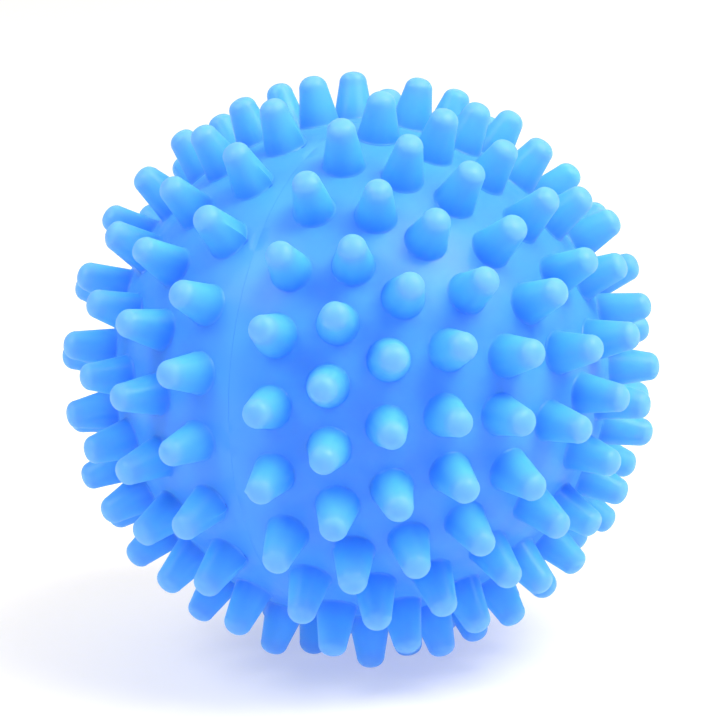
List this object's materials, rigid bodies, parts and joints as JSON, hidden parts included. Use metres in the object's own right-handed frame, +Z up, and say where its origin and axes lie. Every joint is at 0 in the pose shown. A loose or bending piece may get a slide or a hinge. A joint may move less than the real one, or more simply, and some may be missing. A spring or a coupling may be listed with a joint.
{
  "type": "spiked dryer ball",
  "caption": "Hollow soft plastic dryer ball with blunt round studs, made of two half shells bonded at a stud-free seam band, with a small vent plug.",
  "frame": {"origin": "centre of the ball, on the seam plane", "axes": "+X along the mould axis of both half shells, from the left half to the right half; +Z up, away from the surface that the ball rests on"},
  "size_m": [0.0642, 0.0642, 0.0642],
  "materials": {
    "soft_pvc": "satin, slightly translucent blue",
    "bond_cement": "clear, set",
    "plug_pvc": "satin blue"
  },
  "bodies": {
    "root": {"right_half_shell": "soft_pvc", "left_half_shell": "soft_pvc", "seam_bond": "bond_cement", "vent_plug": "plug_pvc"}
  },
  "joints": []
}
